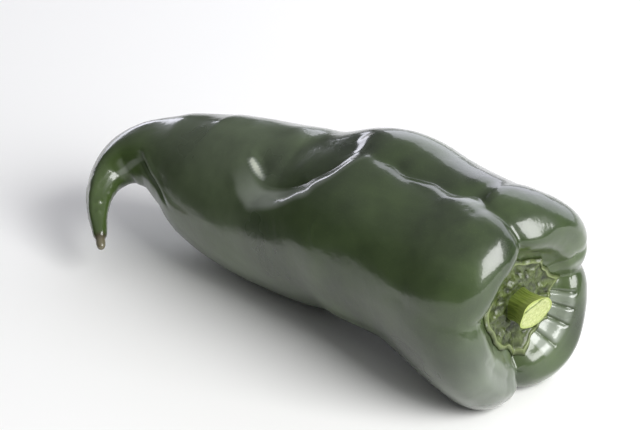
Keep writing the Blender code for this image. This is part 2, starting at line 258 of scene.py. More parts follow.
# the fold is a rim that starts on top, comes down the front and curls up again round the dent it stands over;
# its upper end is a second, shorter rim, and a third stands at the dent's far side
# station, angle, depth of the dent beside the rim, width of the wall that falls into it, painted reflection
# on that wall
FOLD_RIMS = [
    [(0.0680, 60, 0.0, 0.0032, 0.0), (0.0630, 71, 0.0, 0.0032, 0.0), (0.0590, 80, 0.0005, 0.0032, 0.0),
     (0.0567, 89, 0.0013, 0.0032, 0.15), (0.0557, 97, 0.0015, 0.0032, 0.20),
     (0.0560, 104, 0.0011, 0.0032, 0.15), (0.0574, 110, 0.0005, 0.0032, 0.05),
     (0.0596, 116, 0.0, 0.0032, 0.0), (0.0630, 124, 0.0, 0.0032, 0.0)],
    [(0.0480, 88, 0.0, 0.0040, 0.0), (0.0503, 97, 0.0, 0.0040, 0.0), (0.0520, 104, 0.0010, 0.0040, 0.05),
     (0.0534, 110, 0.0020, 0.0042, 0.20), (0.0547, 117, 0.0027, 0.0046, 0.30),
     (0.0566, 126, 0.0030, 0.0050, 0.40), (0.0600, 136, 0.0032, 0.0056, 0.50),
     (0.0640, 143.5, 0.0034, 0.0060, 0.60), (0.0685, 148.5, 0.0036, 0.0066, 0.60),
     (0.0735, 152, 0.0036, 0.0072, 0.60), (0.0795, 154.5, 0.0032, 0.0076, 0.60),
     (0.0850, 154, 0.0026, 0.0080, 0.50), (0.0890, 149, 0.0019, 0.0080, 0.40),
     (0.0920, 142, 0.0012, 0.0076, 0.25), (0.0955, 137, 0.0007, 0.0070, 0.15),
     (0.1010, 133, 0.0, 0.0060, 0.0), (0.1060, 131, 0.0, 0.0060, 0.0)],
    [(0.0845, 146, 0.0, 0.0020, 0.0), (0.0860, 138, 0.0, 0.0020, 0.0), (0.0869, 134, 0.0010, 0.0020, 0.0),
     (0.0882, 130, 0.0018, 0.0020, 0.1), (0.0897, 126, 0.0018, 0.0020, 0.1),
     (0.0912, 122, 0.0008, 0.0020, 0.0), (0.0926, 118, 0.0, 0.0020, 0.0), (0.0950, 110, 0.0, 0.0020, 0.0)]]
DENT_REACH = 0.0130
# share of a wall's fall that starts at once at its rim
RIM_SHARP = 0.3
# shares of the wall's width that the painted reflection lies between, how softly it ends, and its reach past
# the wall
PAINTED_REFLECTION_ON_WALL = (0.10, 0.65, 0.35)
PAINTED_REFLECTION_PAST_WALL = 0.1 * DENT_REACH
# small grooves and, where the depth is below nought, pleats: station, angle, depth, half width
WRINKLES = [
    [(0.1378, 136, 0.0, 0.0010), (0.1373, 146, 0.0001, 0.0010), (0.1362, 160, 0.0006, 0.0010),
     (0.1345, 168, 0.0010, 0.0009), (0.1322, 176, 0.0011, 0.0009), (0.1291, 180, 0.0010, 0.0009),
     (0.1251, 183, 0.0008, 0.0009), (0.1225, 186, 0.0006, 0.0010), (0.1200, 188, 0.0002, 0.0010),
     (0.1174, 190, 0.0, 0.0010), (0.1150, 193, 0.0, 0.0010)],
    [(0.1362, 144, 0.0, 0.0012), (0.1350, 151, -0.0003, 0.0012), (0.1328, 160, -0.0005, 0.0012),
     (0.1300, 168, -0.0005, 0.0012), (0.1268, 173, -0.0004, 0.0012), (0.1235, 177, -0.0002, 0.0012),
     (0.1210, 180, 0.0, 0.0012), (0.1190, 182, 0.0, 0.0012)],
    [(0.0735, 158, 0.0, 0.0006), (0.0733, 161, -0.0001, 0.0006), (0.0729, 166, -0.0001, 0.0006),
     (0.0726, 170, 0.0, 0.0006)],
    [(0.0702, 158, 0.0, 0.0006), (0.0700, 162, -0.00012, 0.0006), (0.0697, 167, -0.00012, 0.0006),
     (0.0694, 171, 0.0, 0.0006)],
    [(0.0560, 154, 0.0, 0.0007), (0.0565, 158, -0.0001, 0.0007), (0.0560, 164, -0.0001, 0.0007),
     (0.0552, 168, 0.0, 0.0007)]]
# pale marks of painted highlight and reflection: a highlight beside the fold, reflections at the hook's elbow
# and kink and along the top furrow's bank; station, angle, half width, amount
PAINTED_SHEEN_MARKS = [
    [(0.0902, 124.0, 0.0009, 0.95), (0.0888, 126.0, 0.0013, 1.0), (0.0865, 129.5, 0.0014, 1.0),
     (0.0846, 132.0, 0.0008, 0.9), (0.0836, 133.5, 0.0005, 0.0)],
    [(0.1600, 156, 0.0014, 0.0), (0.1560, 168, 0.0020, 0.30), (0.1510, 178, 0.0024, 0.35),
     (0.1450, 176, 0.0022, 0.40), (0.1400, 166, 0.0016, 0.40), (0.1375, 156, 0.0012, 0.20),
     (0.1365, 150, 0.0010, 0.0)],
    [(0.1355, 153, 0.0008, 0.0), (0.1338, 160, 0.0009, 0.30), (0.1305, 170, 0.0010, 0.30),
     (0.1262, 175, 0.0010, 0.30), (0.1230, 179, 0.0010, 0.20), (0.1200, 182, 0.0008, 0.0)],
    [(0.0165, 101.5, 0.0010, 0.0), (0.0194, 100, 0.0015, 0.22), (0.0218, 99.5, 0.0018, 0.40),
     (0.0240, 99.5, 0.0019, 0.45), (0.0262, 101, 0.0016, 0.36), (0.0290, 103, 0.0014, 0.30),
     (0.0325, 102, 0.0010, 0.15), (0.0355, 104, 0.0008, 0.0)]]
# a mark thins out to nothing between these shares of its half width
MARK_ENDS = (0.5, 1.5)
# painted highlights and reflections on the shoulder: angle, half width in degrees, distance past the crest,
# half length, amount
SHOULDER_PAINTED_SHEEN = [
    (251, 3.0, 0.0005, 0.0055, 0.45), (204, 4.0, 0.0, 0.0030, 0.35), (229, 3.5, 0.0, 0.0028, 0.35),
    (225, 32, 0.0050, 0.0120, 0.42), (16, 2.5, 0.0, 0.0028, 0.45)]
THIN_BLOOM = 0.02
# the tapering half keeps a little more, which begins and ends between these stations
TAPER_BLOOM = 0.10
TAPER_BLOOM_BEGINS = (0.062, 0.088)
TAPER_BLOOM_ENDS = (0.126, 0.142)
# first and last station, and lowest and highest angle, that each set of paths can reach
NEAR_FOLD = (0.040, 0.125, 40, 190)
NEAR_WRINKLES = (0.035, 0.165, 100, 230)
NEAR_MARKS = (0.008, 0.165, 90, 230)


def within(bounds, station, past_crest, angle):
    """Which places on the outer wall lie between two stations and two angles."""
    first, last, low, high = bounds
    return (station > first) & (station < last) & (angle > low) & (angle < high) & (past_crest > 0)


def folds(station, past_crest, angle):
    """Depth of the fold's dents and the painted reflection on their walls."""
    depth, bloom_and_painted_sheen = np.zeros_like(station), np.zeros_like(station)
    near = within(NEAR_FOLD, station, past_crest, angle)
    for rim in FOLD_RIMS:
        far, across, (dent, wall, pale_share) = from_path(rim, station[near], angle[near])
        down = np.clip(across / wall, 0, 1)
        down = RIM_SHARP * down + (1 - RIM_SHARP) * blend(0, 1, down)
        depth[near] += dent * down * fades(far - wall, DENT_REACH)
        # painted reflection along the upper part of each wall
        pale_share = pale_share * between(*PAINTED_REFLECTION_ON_WALL, across / wall) * fades(far - wall, PAINTED_REFLECTION_PAST_WALL)
        bloom_and_painted_sheen[near] = np.maximum(bloom_and_painted_sheen[near], pale_share)
    return depth, bloom_and_painted_sheen


def wrinkles(station, past_crest, angle):
    """Depth of the small grooves, below nought for the pleats."""
    depth = np.zeros_like(station)
    near = within(NEAR_WRINKLES, station, past_crest, angle)
    for path in WRINKLES:
        far, _, (deepest, half) = from_path(path, station[near], angle[near])
        depth[near] += deepest * hump(far, half)
    return depth


def outer_bloom_and_sheen(station, past_crest, angle):
    """Wax bloom on the outer wall, a trace all over and more on the tapering half, and painted highlights and
    reflections as pale marks on the shoulder, the fold, the hook and the top furrow.
    """
    taper = blend(*TAPER_BLOOM_BEGINS, station) * (1 - blend(*TAPER_BLOOM_ENDS, station))
    bloom_and_painted_sheen = blend(0.0, CREST_EASE, past_crest) * (THIN_BLOOM + TAPER_BLOOM * taper)
    for centre, half, place, length, amount in SHOULDER_PAINTED_SHEEN:
        patch = hump(off_centre(angle, centre), half) * hump(past_crest - place, length)
        bloom_and_painted_sheen = np.maximum(bloom_and_painted_sheen, amount * patch)
    near = within(NEAR_MARKS, station, past_crest, angle)
    for path in PAINTED_SHEEN_MARKS:
        far, _, (half, amount) = from_path(path, station[near], angle[near])
        bloom_and_painted_sheen[near] = np.maximum(bloom_and_painted_sheen[near], amount * (1 - blend(*MARK_ENDS, far / half)))
    return bloom_and_painted_sheen


# the cavity's right wall has flat pleats between these distances past the crest and these angles, each pair
# with the softness of its ends; the other sizes are degrees, but for the depth and the share of painted
# highlight on the facets
PLEATED_WALL = (-0.0115, -0.0026, 0.0015)
PLEATED_ANGLES = (289, 352, 2)
FIRST_CREASE = 287
PLEAT_ANGLE = 16.5
PLEAT_SWAY = 2.5
PLEAT_SWAY_ANGLE = 9
PLEAT_CREASE = 1.8
PLEAT_DEPTH = 0.0008
PLEAT_PAINTED_HIGHLIGHT = 0.6
# and puckers round the calyx, whose spacing sways a few times round
PUCKERED_WALL = (-0.0125, -0.0090, 0.0020)
PUCKERS = 23
PUCKER_SWAY = 2.2
PUCKER_SWAYS = 3
PUCKER_HEIGHT = 0.00006


def cavity_wall(past_crest, angle):
    """Height of the cavity's pleats and puckers, and the painted highlight on the pleats' facets."""
    pleated = between(*PLEATED_ANGLES, angle)
    turn = (angle - FIRST_CREASE + PLEAT_SWAY * np.sin(angle / PLEAT_SWAY_ANGLE)) / PLEAT_ANGLE
    facet = 1 - hump((turn - np.round(turn)) * PLEAT_ANGLE, PLEAT_CREASE)
    wall = between(*PLEATED_WALL, past_crest) * pleated
    puckered = between(*PUCKERED_WALL, past_crest) * (1 - pleated)
    sway = PUCKER_SWAY * np.sin(np.radians(angle) * PUCKER_SWAYS)
    pucker = np.sin(np.radians(angle) * PUCKERS + sway)
    height = PUCKER_HEIGHT * puckered * pucker - PLEAT_DEPTH * wall * (1 - facet)
    return height, PLEAT_PAINTED_HIGHLIGHT * wall * facet


# the hook's lengthwise flutes come in and go out between these stations, and turn a radian in this distance
HOOK_FLUTES = 4
FLUTES_BEGIN = (0.125, 0.140)
FLUTES_END = (0.166, 0.172)
FLUTE_TURN = 0.009
FLUTE_HEIGHT = 0.00028
# grown walls have lumps, each kind with its size and height
BROAD_LUMPS = (0.020, 0.00030)
FINE_LUMPS = (0.0055, 0.00007)
FINE_LUMPS_STRETCH = (0.45, 1, 1)
# the fine ones are higher beside the top furrow, between these stations and round this angle, and the hook
# has small ones of its own
FURROW_LUMPS = 0.00022
FURROW_LUMPS_AT = (0.006, 0.044, 0.008)
FURROW_LUMPS_ROUND = (106, 13)
HOOK_LUMPS = (0.0022, 0.00012)
HOOK_LUMPS_AT = (0.154, 0.172, 0.006)


def unevenness(station, past_crest, angle, straight):
    """Height of the hook's flutes and of the lumps that a grown wall has."""
    fluted = blend(*FLUTES_BEGIN, station) * (1 - blend(*FLUTES_END, station))
    height = FLUTE_HEIGHT * fluted * np.cos(HOOK_FLUTES * np.radians(angle) + station / FLUTE_TURN)
    size, rise = HOOK_LUMPS
    height += rise * between(*HOOK_LUMPS_AT, station) * lumps(straight, size)
    size, rise = BROAD_LUMPS
    height += rise * blend(0.0, CREST_EASE, past_crest) * lumps(straight, size)
    size, rise = FINE_LUMPS
    middle, half = FURROW_LUMPS_ROUND
    furrowed = between(*FURROW_LUMPS_AT, station) * hump(off_centre(angle, middle), half)
    height += (rise + FURROW_LUMPS * furrowed) * lumps(straight * FINE_LUMPS_STRETCH, size)
    return height


def relief(station, past_crest, angle, straight):
    """Height of the skin over the turned profile, and how much wax bloom and painted sheen it carries."""
    outer = blend(0.0, CREST_EASE, past_crest)
    dents, wall_painted_reflection = folds(station, past_crest, angle)
    pleats, pleat_painted_highlight = cavity_wall(past_crest, angle)
    height = outer * swellings(station, angle) - furrows(station, past_crest, angle)
    height = height - dents - wrinkles(station, past_crest, angle) + pleats
    height = height + unevenness(station, past_crest, angle, straight)
    bloom_and_painted_sheen = np.maximum(outer_bloom_and_sheen(station, past_crest, angle), np.maximum(wall_painted_reflection, pleat_painted_highlight))
    return height, bloom_and_painted_sheen


def skin(length, angle, lift=0.0):
    """Points on the pod's skin or lifted off it, the same points on a straight pod, and their wax bloom and
    painted sheen.
    """
    station, radius = read_off(length, OUTLINE_LENGTH, OUTLINE).T
    slope = np.gradient(OUTLINE, OUTLINE_LENGTH, axis=0)
    d_station, d_radius = read_off(length, OUTLINE_LENGTH, slope).T
    steep = np.hypot(d_station, d_radius)
    straight = np.stack([station, radius * np.cos(angle), radius * np.sin(angle)], -1)
    height, bloom_and_painted_sheen = relief(station, length - CREST_LENGTH, np.degrees(angle), straight)
    height = height * blend(0.0, POLE_EASE, radius) + lift
    station = station - height * d_radius / steep
    radius = radius + height * d_station / steep
    at, point, tangent, side, up = FRAMES
    beyond = np.minimum(station, 0) + np.maximum(station - at[-1], 0)
    centre = read_off(station, at, point) + read_off(station, at, tangent) * beyond[:, None]
    sideways = (radius * np.cos(angle))[:, None] * read_off(station, at, side)
    upwards = (radius * np.sin(angle))[:, None] * read_off(station, at, up)
    return PLACE + centre + sideways + upwards, straight, bloom_and_painted_sheen


# how much closer the rows and columns are than elsewhere, where, and over what distance
CLOSER_AT_CREST = (1.0, 0.012)
CLOSER_AT_FOLD = (2.6, 0.0585, 0.007)
CLOSER_AT_TIP = (2.0, 0.156, 0.168)
CLOSER_IN_FRONT = (1.6, 143, 20)


def evenly(share, at, closeness):
    """Places reached after each share of the way, where the steps are shorter the greater the closeness."""
    steps = 0.5 * (closeness[1:] + closeness[:-1]) * np.diff(at)
    spread = np.concatenate([[0.0], np.cumsum(steps)])
    return np.interp(share * spread[-1], spread, at)


def pod_lengths(row):
    """Rows run from the cavity's floor to the tip, closer together at the crest, the fold and the tip."""
    station, past_crest = OUTLINE[:, 0], OUTLINE_LENGTH - CREST_LENGTH
    closeness = 1 + CLOSER_AT_CREST[0] * hump(past_crest, CLOSER_AT_CREST[1])
    more, place, half = CLOSER_AT_FOLD
    closeness += (past_crest > 0) * more * hump(station - place, half)
    closeness += CLOSER_AT_TIP[0] * blend(*CLOSER_AT_TIP[1:], station)
    return evenly(row, OUTLINE_LENGTH, closeness)


def pod_angles(angle):
    """Columns run round the pod, closer together over its folded front, by a table of every half degree."""
    at = np.linspace(0, 2 * pi, 721)
    more, middle, half = CLOSER_IN_FRONT
    return evenly(angle / (2 * pi), at, 1 + more * hump(np.degrees(at) - middle, half))


def moulded(name, columns, rows, place):
    """A sheet rolled up and closed: its vertices go to place(row, angle), which also gives what they keep."""
    form = bmesh.new()
    bmesh.ops.create_grid(form, x_segments=columns, y_segments=rows, size=0.5)
    sheet = np.array([vertex.co for vertex in form.verts], float) + 0.5
    points, kept = place(sheet[:, 1], 2 * pi * sheet[:, 0])
    for label, values in kept.items():
        kinds = form.verts.layers
        layer = (kinds.float_vector if values.ndim == 2 else kinds.float).new(label)
        for vertex, value in zip(form.verts, values):
            vertex[layer] = value
    for vertex, point in zip(form.verts, points):
        vertex.co = point
    bmesh.ops.remove_doubles(form, verts=form.verts, dist=MERGE)
    form.normal_update()
    bmesh.ops.recalc_face_normals(form, faces=form.faces)
    mesh = bpy.data.meshes.new(name)
    form.to_mesh(mesh)
    form.free()
    mesh.shade_smooth()
    piece = bpy.data.objects.new(name, mesh)
    bpy.context.scene.collection.objects.link(piece)
    return piece


# share of the ripening and the stations it happens between
RIPENS = [(0.45, 0.055, 0.095), (0.55, 0.120, 0.165)]
# distances past the crest between which the cavity's colour ends, and stations between which the tip dries
CAVITY_EDGE = (-0.006, 0.001)
WITHERS = (0.1720, 0.1765)


def pod_place(row, angle):
    """Pod vertices, settled on the surface they lie on, with what the skin's pattern follows."""
    length = pod_lengths(row)
    points, straight, bloom_and_painted_sheen = skin(length, pod_angles(angle))
    points[:, 2] = np.maximum(points[:, 2], 0)
    station = straight[:, 0]
    return points, {
        "straight": straight,
        "bloom_and_painted_sheen": bloom_and_painted_sheen,
        "ripeness": sum(share * blend(first, last, station) for share, first, last in RIPENS),
        "cavity": 1 - blend(*CAVITY_EDGE, length - CREST_LENGTH),
        "withered": blend(*WITHERS, station)}


SKIN_DEEP = "#212d17"
SKIN_GREEN = "#3e4f2a"
SKIN_SPECK = "#5d6f3c"
SKIN_RIPER = "#485d27"
CAVITY_GREEN = "#4c5b36"
DRIED_BROWN = "#38331a"
DRIED_GREY = "#69634d"
# grey for wax bloom and for painted reflections and highlights; the near white is reached only by the painted
# highlight beside the fold
BLOOM_AND_SHEEN_GREY = "#a3a9a1"
HIGHLIGHT_WHITE = "#dde2d2"
# sizes across; the skin's real grain and peel are its cells, 0.04 mm wide, which wouldn't show, so both are
# drawn as coarse as they need to be to show
BLOTCH_MM = 22.222
GRAIN_MM = 0.38462
RIPPLE_MM = 3.8462
PEEL_MM = 0.66667


def hex_colour(code):
    """Linear red, green and blue of an sRGB hex colour, and full alpha."""
    parts = [int(code[k:k + 2], 16) / 255 for k in (1, 3, 5)]
    return (*[c / 12.92 if c <= 0.04045 else ((c + 0.055) / 1.055) ** 2.4 for c in parts], 1.0)


def add_node(tree, kind, settings=None, **inputs):
    """A node with its settings and its inputs, each a value or another node's output socket.

    An input goes by its name, or by an underscore and its number where several share a name."""
    node = tree.nodes.new(kind)
    for name, value in (settings or {}).items():
        setattr(node, name, value)
    for name, value in inputs.items():
        key = int(name[1:]) if name[0] == "_" else name.replace("_", " ")
        if isinstance(value, bpy.types.NodeSocket):
            tree.links.new(value, node.inputs[key])
        else:
            node.inputs[key].default_value = value
    return node


def set_stops(ramp, *stops):
    """Gives a ramp's two stops their places and colours."""
    for stop, (place, code) in zip(ramp.color_ramp.elements, stops):
        stop.position = place
        stop.color = hex_colour(code)


def new_finish(name):
    """An empty material and its node tree, ready for nodes."""
    material = bpy.data.materials.new(name)
    material.use_nodes = True
    material.node_tree.nodes.clear()
    return material, material.node_tree


def waxed_skin():
    """Cuticle wax over dark green flesh: a clear, rippled gloss over mottled deep green, with wax bloom and
    pale painted highlights and reflections.
    """
    material, tree = new_finish("waxed_pepper_skin")
    straight = add_node(tree, "ShaderNodeAttribute", {"attribute_name": "straight"}).outputs["Vector"]
    ripeness = add_node(tree, "ShaderNodeAttribute", {"attribute_name": "ripeness"}).outputs["Fac"]
    cavity = add_node(tree, "ShaderNodeAttribute", {"attribute_name": "cavity"}).outputs["Fac"]
    withered = add_node(tree, "ShaderNodeAttribute", {"attribute_name": "withered"}).outputs["Fac"]
    bloom_and_painted_sheen = add_node(tree, "ShaderNodeAttribute", {"attribute_name": "bloom_and_painted_sheen"}).outputs["Fac"]

    # mottled green with paler specks
    blotch = add_node(tree, "ShaderNodeTexNoise", Vector=straight, Scale=1000 / BLOTCH_MM, Detail=3.0,
                      Roughness=0.55).outputs["Fac"]
    mottled = add_node(tree, "ShaderNodeValToRGB", Fac=blotch)
    set_stops(mottled, (0.33, SKIN_DEEP), (0.68, SKIN_GREEN))
    grain = add_node(tree, "ShaderNodeTexNoise", Vector=straight, Scale=1000 / GRAIN_MM, Detail=2.0)
    speck = add_node(tree, "ShaderNodeMapRange", Value=grain.outputs["Fac"], From_Min=0.60, From_Max=0.74,
                     To_Max=0.16)
    specked = add_node(tree, "ShaderNodeMix", {"data_type": "RGBA"}, Factor=speck.outputs[0],
                       _6=mottled.outputs[0], _7=hex_colour(SKIN_SPECK))

    # riper towards the hook, paler in the cavity, brown and grey at the dry tip
    ripe = add_node(tree, "ShaderNodeMath", {"operation": "MULTIPLY"}, _0=ripeness, _1=0.55)
    riper = add_node(tree, "ShaderNodeMix", {"data_type": "RGBA"}, Factor=ripe.outputs[0],
                     _6=specked.outputs[2], _7=hex_colour(SKIN_RIPER))
    shaded = add_node(tree, "ShaderNodeMath", {"operation": "MULTIPLY"}, _0=cavity, _1=0.6)
    inner = add_node(tree, "ShaderNodeMix", {"data_type": "RGBA"}, Factor=shaded.outputs[0],
                     _6=riper.outputs[2], _7=hex_colour(CAVITY_GREEN))
    dead = add_node(tree, "ShaderNodeMapRange", Value=withered, From_Min=0.1, From_Max=0.5)
    dried = add_node(tree, "ShaderNodeValToRGB", Fac=withered)
    set_stops(dried, (0.45, DRIED_BROWN), (0.95, DRIED_GREY))
    ended = add_node(tree, "ShaderNodeMix", {"data_type": "RGBA"}, Factor=dead.outputs[0],
                     _6=inner.outputs[2], _7=dried.outputs[0])

    # wax bloom, dull and pale where it was left, and the pale marks of painted highlight and reflection;
    # where the marks pass 0.7 they turn near white, a painted highlight
    patchiness = add_node(tree, "ShaderNodeMapRange", Value=blotch, From_Min=0.35, From_Max=0.65, To_Min=0.6)
    pale_share = add_node(tree, "ShaderNodeMath", {"operation": "MULTIPLY"}, _0=bloom_and_painted_sheen, _1=patchiness.outputs[0])
    # the share of near-white painted highlight
    thick = add_node(tree, "ShaderNodeMapRange", Value=bloom_and_painted_sheen, From_Min=0.7, From_Max=1.0)
    bloom_and_highlight_colour = add_node(tree, "ShaderNodeMix", {"data_type": "RGBA"}, Factor=thick.outputs[0],
                      _6=hex_colour(BLOOM_AND_SHEEN_GREY), _7=hex_colour(HIGHLIGHT_WHITE))
    with_bloom_and_sheen = add_node(tree, "ShaderNodeMix", {"data_type": "RGBA"}, Factor=pale_share.outputs[0],
                     _6=ended.outputs[2], _7=bloom_and_highlight_colour.outputs[2])

    # the gloss is a little uneven, over broad ripples and a fine peel
    rough = add_node(tree, "ShaderNodeMapRange", Value=blotch, From_Min=0.3, From_Max=0.7, To_Min=0.26,
                     To_Max=0.34)
    ripple = add_node(tree, "ShaderNodeTexNoise", Vector=straight, Scale=1000 / RIPPLE_MM, Detail=2.0)
    rippled = add_node(tree, "ShaderNodeBump", Strength=0.35, Distance=0.0003, Height=ripple.outputs["Fac"])
    peel = add_node(tree, "ShaderNodeTexNoise", Vector=straight, Scale=1000 / PEEL_MM, Detail=1.0)
    peeled = add_node(tree, "ShaderNodeBump", Strength=0.22, Distance=0.00006, Height=peel.outputs["Fac"],
                      Normal=rippled.outputs[0])
    shader = add_node(tree, "ShaderNodeBsdfPrincipled", Base_Color=with_bloom_and_sheen.outputs[2], Metallic=0.0,
                      Roughness=rough.outputs[0], IOR=1.45, Coat_Weight=0.8, Coat_Roughness=0.09,
                      Coat_IOR=1.45, Normal=peeled.outputs[0], Coat_Normal=peeled.outputs[0])
    add_node(tree, "ShaderNodeOutputMaterial", Surface=shader.outputs[0])
    return material


pod = moulded("pod_skin", POD_COLUMNS, POD_ROWS, pod_place)
pod.data.materials.append(waxed_skin())
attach(pod, "root")
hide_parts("pod")


# Calyx
# The green star that held the flower: a thin leathery blade grown onto the floor of the stem cavity, with a
# pale curled rim whose corners were the flower's sepals, ribs that run to them and a knobbly, shiny middle.
CALYX_COLUMNS = 360
CALYX_ROWS = 200
GAP = 0.0004
# angle and reach of each corner, and how far the edge draws in between two corners as a share of the reach
CALYX_CORNERS = [
    (6, 0.0140), (52, 0.0128), (103, 0.0128), (145, 0.0130), (186, 0.0138), (228, 0.0138), (272, 0.0148),
    (320, 0.0134)]
SCALLOP = 0.10
SCALLOP_FULLNESS = 0.8
EDGE_WAVES = 17
EDGE_WAVE_HEIGHT = 0.0002
BLADE_THICK = 0.0006
# the flat collar that the stem grows from slopes down to the blade
COLLAR_THICK = 0.0016
COLLAR_RADIUS = 0.0062
COLLAR_FALL = 0.0022
# places on the blade are shares of the reach, and widths round it shares of the way to the next corner
RIM_RISE = 0.0004
RIM_AT = 0.955
RIM_HALF = 0.027
RIM_WAVES = 11
RIM_WAVE_SHARE = 0.2
ROUNDS_FROM = 0.93
RIB_RISE = 0.0008
RIB_HALF = 0.13
RIB_ENDS = (0.70, 0.98)
SMALL_RIB_SHARE = 0.5
SMALL_RIB_HALF = 0.10
SMALL_RIB_ENDS = (0.60, 0.90)
SMALL_RIB_PALENESS = 0.6
# knobs begin between these radii, round the stalk, and end between these shares of the reach
KNOB_SIZE = 0.0019
KNOB_HEIGHT = 0.00045
KNOBS_BEGIN = (0.0030, 0.0050)
KNOBS_END = (0.75, 0.92)
UNDER_FACE_GAP = 0.2 * GAP


def calyx_place(row, angle):
    """The first half of the rows is the upper face, from the middle to the rim, the rest the under face."""
    corners = np.radians([a for a, _ in CALYX_CORNERS])
    reaches = np.array([r for _, r in CALYX_CORNERS])
    after = np.searchsorted(corners, angle) % len(corners)
    side = (corners[after] - corners[after - 1]) % (2 * pi)
    into = ((angle - corners[after - 1]) % (2 * pi)) / side
    reach = reaches[after - 1] * (1 - into) + reaches[after] * into
    reach = reach * (1 - SCALLOP * np.sin(pi * into) ** SCALLOP_FULLNESS)
    reach = reach + EDGE_WAVE_HEIGHT * np.sin(angle * EDGE_WAVES)
    out = np.where(row < 0.5, 2 * row, 2 - 2 * row)
    radius = out * reach
    past_collar = blend(COLLAR_RADIUS, COLLAR_RADIUS + COLLAR_FALL, radius)
    rib = hump(np.minimum(into, 1 - into), RIB_HALF) * (1 - blend(*RIB_ENDS, out)) * past_collar
    small_rib = hump(into - 0.5, SMALL_RIB_HALF) * (1 - blend(*SMALL_RIB_ENDS, out)) * past_collar
    in_cavity = OUTLINE_LENGTH <= CREST_LENGTH
    length = np.interp(radius, OUTLINE[in_cavity, 1], OUTLINE_LENGTH[in_cavity])
    flat = np.stack([radius * np.cos(angle), radius * np.sin(angle), np.zeros_like(radius)], -1)
    knobs = lumps(flat, KNOB_SIZE)
    knobbly = (1 - blend(*KNOBS_END, out)) * blend(*KNOBS_BEGIN, radius)
    rim = hump(out - RIM_AT, RIM_HALF)
    thick = COLLAR_THICK + (BLADE_THICK - COLLAR_THICK) * past_collar
    thick = thick + RIB_RISE * (rib + SMALL_RIB_SHARE * small_rib) + KNOB_HEIGHT * knobs * knobbly
    thick = thick + RIM_RISE * rim * (1 + RIM_WAVE_SHARE * np.sin(angle * RIM_WAVES))
    thick = thick * np.sqrt(1 - np.clip((out - ROUNDS_FROM) / (1 - ROUNDS_FROM), 0, 1) ** 2)
    flat[:, 2] = np.where(row <= 0.5, GAP + thick, UNDER_FACE_GAP)
    points, _, _ = skin(length, angle, flat[:, 2])
    return points, {
        "flat": flat,
        "knobs": 0.5 + 0.5 * knobs,
        "rib": np.maximum(rib, SMALL_RIB_PALENESS * small_rib),
        "rim": rim}


# painted shade for the hollows between the knobs
SEPAL_PAINTED_SHADE = "#1d250c"
SEPAL_GREEN = "#4c582d"
SEPAL_RIB = "#64723a"
SEPAL_RIM = "#788355"
MOTTLE_MM = 1.4286
LEATHER_MM = 0.45455


def calyx_leaf():
    """Fresh, waxy sepal tissue: mottled green, pale where raised, with painted shade in the hollows between
    the knobs, satin gloss.
    """
    material, tree = new_finish("fresh_sepal_tissue")
    flat = add_node(tree, "ShaderNodeAttribute", {"attribute_name": "flat"}).outputs["Vector"]
    knobs = add_node(tree, "ShaderNodeAttribute", {"attribute_name": "knobs"}).outputs["Fac"]
    rib = add_node(tree, "ShaderNodeAttribute", {"attribute_name": "rib"}).outputs["Fac"]
    rim = add_node(tree, "ShaderNodeAttribute", {"attribute_name": "rim"}).outputs["Fac"]
    mottle = add_node(tree, "ShaderNodeTexNoise", Vector=flat, Scale=1000 / MOTTLE_MM, Detail=4.0)
    # painted shade: the colour darkens into the hollows between the knobs, following their height, over a
    # random mottle
    tone = add_node(tree, "ShaderNodeMix", {"data_type": "FLOAT"}, Factor=0.45, _2=knobs,
                    _3=mottle.outputs["Fac"])
    knob_shaded = add_node(tree, "ShaderNodeValToRGB", Fac=tone.outputs[0])
    set_stops(knob_shaded, (0.32, SEPAL_PAINTED_SHADE), (0.66, SEPAL_GREEN))
    rib_share = add_node(tree, "ShaderNodeMath", {"operation": "MULTIPLY"}, _0=rib, _1=0.4)
    ribbed = add_node(tree, "ShaderNodeMix", {"data_type": "RGBA"}, Factor=rib_share.outputs[0],
                      _6=knob_shaded.outputs[0], _7=hex_colour(SEPAL_RIB))
    rim_share = add_node(tree, "ShaderNodeMath", {"operation": "MULTIPLY"}, _0=rim, _1=0.75)
    rimmed = add_node(tree, "ShaderNodeMix", {"data_type": "RGBA"}, Factor=rim_share.outputs[0],
                      _6=ribbed.outputs[2], _7=hex_colour(SEPAL_RIM))
    leather = add_node(tree, "ShaderNodeTexNoise", Vector=flat, Scale=1000 / LEATHER_MM, Detail=2.0)
    bump = add_node(tree, "ShaderNodeBump", Strength=0.5, Distance=0.0002, Height=leather.outputs["Fac"])
    shader = add_node(tree, "ShaderNodeBsdfPrincipled", Base_Color=rimmed.outputs[2], Metallic=0.0,
                      Roughness=0.42, IOR=1.45, Coat_Weight=0.25, Coat_Roughness=0.15,
                      Normal=bump.outputs[0])
    add_node(tree, "ShaderNodeOutputMaterial", Surface=shader.outputs[0])
    return material


calyx = moulded("calyx_star", CALYX_COLUMNS, CALYX_ROWS, calyx_place)
calyx.data.materials.append(calyx_leaf())
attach(calyx, "root")
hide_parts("calyx")


# Stem
# The stub of the fruit's stalk, cut off short with a knife: fluted, fibrous and green at its side, with a
# moist, pale yellow-green cut face whose pith is softer than the ring of fibres round it.
STEM_COLUMNS = 240
STEM_ROWS = 160
# shares of the rows that each end takes, and within it the cut's rim
STEM_FACE_ROWS = 0.30
STEM_RIM_ROWS = 0.03
# middles of the foot and the cut, and the directions that they face
STEM_FOOT = (-POD_PROFILE[0][0] + 0.5 * GAP + COLLAR_THICK, 0.0, 0.0266)
STEM_CUT = (0.0013, -0.0013, 0.0274)
STEM_FOOT_FACES = (1.0, 0.0, 0.0)
STEM_CUT_FACES = (0.93, -0.09, -0.36)
